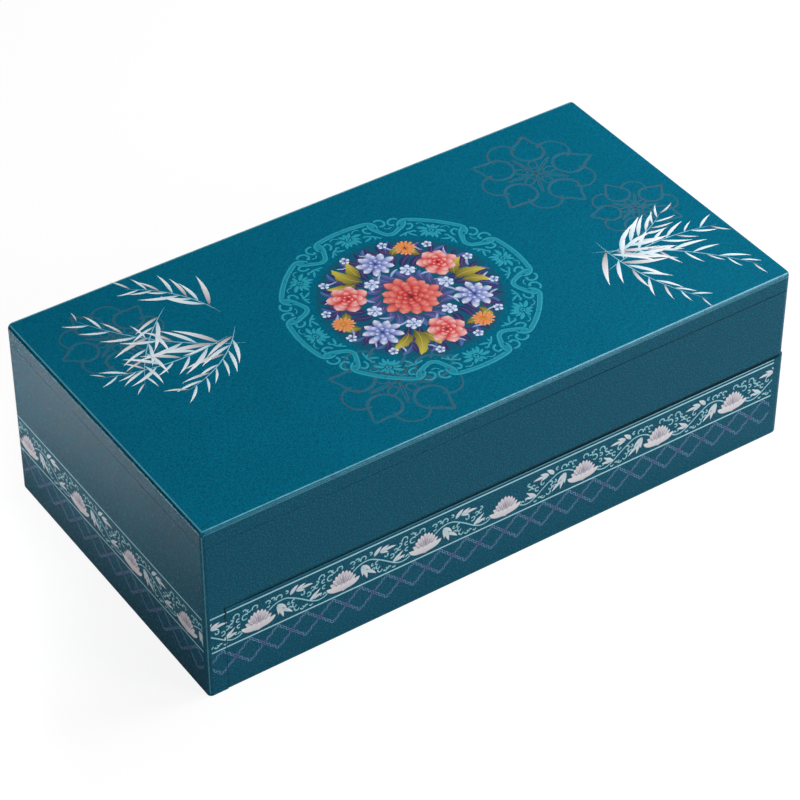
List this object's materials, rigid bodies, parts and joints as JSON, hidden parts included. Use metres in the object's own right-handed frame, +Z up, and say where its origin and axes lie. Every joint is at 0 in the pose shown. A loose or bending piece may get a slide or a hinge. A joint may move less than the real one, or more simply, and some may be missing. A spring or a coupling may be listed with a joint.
{
  "type": "puzzle box",
  "caption": "Lacquered board box with a hinged lid over a felt-lined compartment and a hidden side drawer that a drop pin locks from inside.",
  "frame": {"origin": "middle of the base, on the plane that the box stands on", "axes": "+X to the right end, which the drawer pulls out of; -Y is the front; +Z up"},
  "size_m": [0.3, 0.16, 0.09],
  "materials": {
    "lacquer": "satin teal lacquer over board, printed ornament",
    "bare_board": "bare fibreboard",
    "beech": "bare beech",
    "felt": "pressed felt",
    "brass": "satin brass",
    "nickel": "nickel plated"
  },
  "bodies": {
    "case": {"left_end_panel": "lacquer", "right_end_panel": "lacquer", "case_front_wall": "lacquer", "case_back_wall": "lacquer", "compartment_floor": "bare_board", "base_board": "bare_board", "compartment_lining": "felt", "drawer_stop": "beech", "stop_screws": "nickel", "hinge_case_leaves": "brass", "hinge_pins": "brass", "hinge_case_screws": "brass", "case_magnets": "nickel", "lock_bush": "brass", "case_dowels": "beech"},
    "lid": {"lid_board": "lacquer", "lid_lining": "felt", "hinge_lid_leaves": "brass", "hinge_lid_screws": "brass", "lid_magnets": "nickel"},
    "drawer": {"drawer_front_wall": "lacquer", "drawer_back_wall": "lacquer", "drawer_right_end": "lacquer", "drawer_left_end": "bare_board", "drawer_bottom": "bare_board", "drawer_lining": "felt", "drawer_dowels": "beech"},
    "lock": {"lock_pin": "brass", "lock_knob": "brass"}
  },
  "joints": [
    {"name": "lid_hinge", "type": "hinge", "parent": "case", "child": "lid", "pos_m": [0, 0.0774, 0.08135], "axis": [-1, 0, 0], "range_deg": [0, 95]},
    {"name": "drawer_slide", "type": "slide", "parent": "case", "child": "drawer", "axis": [1, 0, 0], "range_m": [0, 0.2]},
    {"name": "lock_slide", "type": "slide", "parent": "case", "child": "lock", "axis": [0, 0, 1], "range_m": [-0.012, 0]}
  ]
}
